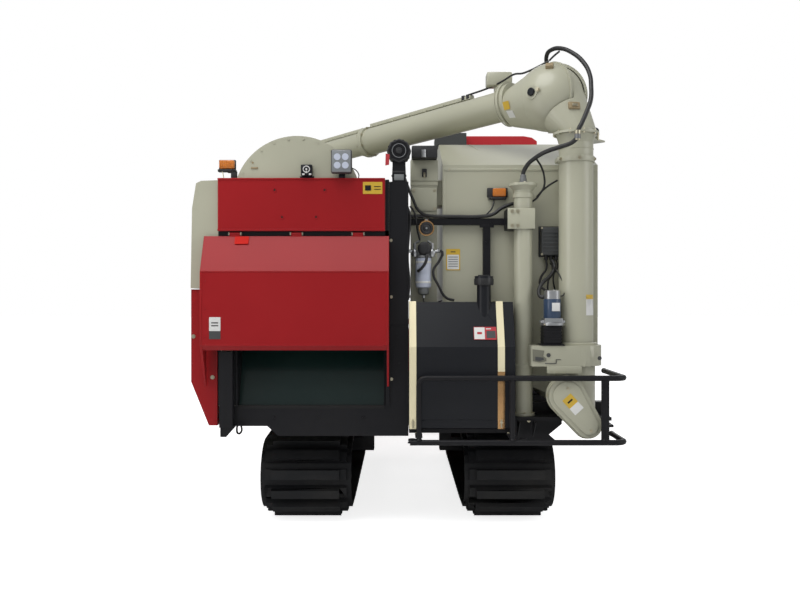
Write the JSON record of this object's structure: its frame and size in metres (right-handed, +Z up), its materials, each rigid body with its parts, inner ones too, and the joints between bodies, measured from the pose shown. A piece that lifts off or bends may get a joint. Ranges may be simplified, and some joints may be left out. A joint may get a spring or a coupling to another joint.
{
  "type": "rice harvester",
  "caption": "Tracked full-feed rice combine with a reel header, feeder house, threshing unit, open operator station, grain tank and a swinging unloading auger.",
  "frame": {"origin": "on the ground, at the middle of the machine's length and width", "axes": "+X to the machine's right, +Y forward towards the header, +Z up"},
  "size_m": [2.54, 5, 2.894],
  "materials": {
    "red_paint": "gloss",
    "beige_paint": "satin",
    "black_paint": "satin",
    "black_plastic": "satin",
    "brass_plating": "metallic",
    "bare_steel": "metallic",
    "chrome": "polished",
    "rubber": "matte",
    "green_paint": "gloss",
    "motor_blue": "satin",
    "seat_vinyl": "matte",
    "lamp_plastic": "gloss",
    "hose_rubber": "satin"
  },
  "bodies": {
    "root": {"chassis": "black_paint", "track_frames": "black_paint", "rollers": "black_paint", "drive": "black_paint", "track_left": "rubber", "track_right": "rubber", "thresher": "beige_paint", "drum_cover": "beige_paint", "rear_panel": "red_paint", "outlet_panel": "green_paint", "side_cover": "beige_paint", "grain_tank": "beige_paint", "grain_elevator": "beige_paint", "fuel_tank": "black_plastic", "fuel_straps": "brass_plating", "rear_frame": "black_paint", "guard_rail": "black_paint", "column": "beige_paint", "slew_motor": "motor_blue", "auger_base": "beige_paint", "belt_guard": "beige_paint", "auger_rest": "black_paint", "engine": "bare_steel", "engine_cover": "beige_paint", "operator_floor": "black_paint", "console": "black_plastic", "seat": "seat_vinyl", "canopy": "red_paint", "roof_box": "black_plastic", "canopy_posts": "black_paint", "lamps": "lamp_plastic", "intake": "black_paint", "fuel_filter": "bare_steel", "hose_root": "hose_rubber"},
    "header": {"feeder": "red_paint", "header_table": "red_paint", "knife_bar": "bare_steel"},
    "cross_auger": {"header_auger": "red_paint"},
    "reel_lift": {"reel_arms": "red_paint"},
    "reel_spin": {"reel": "bare_steel"},
    "header_cylinders": {"header_barrels": "black_paint"},
    "header_pistons": {"header_rods": "chrome"},
    "reel_cylinders": {"reel_barrels": "black_paint"},
    "reel_pistons": {"reel_rods": "chrome"},
    "slewing_pipe": {"unload_pipe": "beige_paint", "hose_auger": "hose_rubber"},
    "auger": {"auger_tube": "beige_paint"},
    "lift_cylinder": {"lift_barrel": "black_paint"},
    "lift_piston": {"lift_rod": "chrome"},
    "hood_flap": {"hood": "red_paint"},
    "rear_side_door": {"side_door_rear": "red_paint"},
    "front_side_door": {"side_door_front": "red_paint"},
    "screen_door": {"radiator_door": "black_paint"},
    "hatch": {"tank_hatch": "beige_paint"}
  },
  "joints": [
    {"name": "header_lift", "type": "hinge", "parent": "root", "child": "header", "pos_m": [0, 0.29, 1.305], "axis": [1, 0, 0], "range_deg": [0, 18]},
    {"name": "cross_auger_turn", "type": "hinge", "parent": "header", "child": "cross_auger", "pos_m": [0, 1.412, 0.52], "axis": [1, 0, 0], "continuous": true},
    {"name": "reel_lift", "type": "hinge", "parent": "header", "child": "reel_lift", "pos_m": [0, 1.186, 1.151], "axis": [1, 0, 0], "range_deg": [0, 15]},
    {"name": "reel_turn", "type": "hinge", "parent": "reel_lift", "child": "reel_spin", "pos_m": [0, 2.06, 1.025], "axis": [1, 0, 0], "continuous": true},
    {"name": "header_cylinder_swing", "type": "hinge", "parent": "root", "child": "header_cylinders", "pos_m": [-0.64, 0.178, 0.797], "axis": [1, 0, 0], "range_deg": [0, 17.72]},
    {"name": "header_cylinder_stroke", "type": "slide", "parent": "header_cylinders", "child": "header_pistons", "axis": [0, 0.9484, -0.317], "range_m": [0, 0.16329]},
    {"name": "reel_cylinder_swing", "type": "hinge", "parent": "header", "child": "reel_cylinders", "pos_m": [0, 1.56, 0.735], "axis": [1, 0, 0], "range_deg": [-0.42153, 0]},
    {"name": "reel_cylinder_stroke", "type": "slide", "parent": "reel_cylinders", "child": "reel_pistons", "axis": [0, 0.0057, 1], "range_m": [0, 0.09943]},
    {"name": "auger_slew", "type": "hinge", "parent": "root", "child": "slewing_pipe", "pos_m": [0.987, -2.25, 1.982], "axis": [0, 0, 1], "range_deg": [0, 180]},
    {"name": "auger_lift", "type": "hinge", "parent": "slewing_pipe", "child": "auger", "pos_m": [0.8675, -2.1305, 2.582], "axis": [0.7071, 0.7071, 0], "range_deg": [0, 25]},
    {"name": "lift_cylinder_swing", "type": "hinge", "parent": "slewing_pipe", "child": "lift_cylinder", "pos_m": [1.13832, -2.07039, 2.395], "axis": [0.7071, 0.7071, 0], "range_deg": [0, 11.34]},
    {"name": "lift_cylinder_stroke", "type": "slide", "parent": "lift_cylinder", "child": "lift_piston", "axis": [-0.6563, 0.6563, 0.3723], "range_m": [0, 0.04398]},
    {"name": "hood_swing", "type": "hinge", "parent": "root", "child": "hood_flap", "pos_m": [-0.645, -2.347, 1.747], "axis": [-1, 0, 0], "range_deg": [0, 60]},
    {"name": "rear_side_door_swing", "type": "hinge", "parent": "root", "child": "rear_side_door", "pos_m": [-1.2475, -1.16635, 1.065], "axis": [0, 0, -1], "range_deg": [0, 95]},
    {"name": "front_side_door_swing", "type": "hinge", "parent": "root", "child": "front_side_door", "pos_m": [-1.2475, 0.0835, 1.065], "axis": [0, 0, -1], "range_deg": [0, 95]},
    {"name": "screen_door_swing", "type": "hinge", "parent": "root", "child": "screen_door", "pos_m": [1.153, -0.139, 1.015], "axis": [0, 0, 1], "range_deg": [0, 100]},
    {"name": "hatch_swing", "type": "hinge", "parent": "root", "child": "hatch", "pos_m": [0.85, -1.088, 2.4055], "axis": [-1, 0, 0], "range_deg": [0, 100]}
  ],
  "couplings": [
    {"joint": "header_cylinder_swing", "follows": "header_lift", "ratio": 0.9816},
    {"joint": "header_cylinder_stroke", "follows": "header_lift", "m_per_rad": 0.51946},
    {"joint": "reel_cylinder_swing", "follows": "reel_lift", "ratio": -0.024769},
    {"joint": "reel_cylinder_stroke", "follows": "reel_lift", "m_per_rad": 0.37941},
    {"joint": "lift_cylinder_swing", "follows": "auger_lift", "ratio": 0.45169},
    {"joint": "lift_cylinder_stroke", "follows": "auger_lift", "m_per_rad": 0.10056}
  ]
}
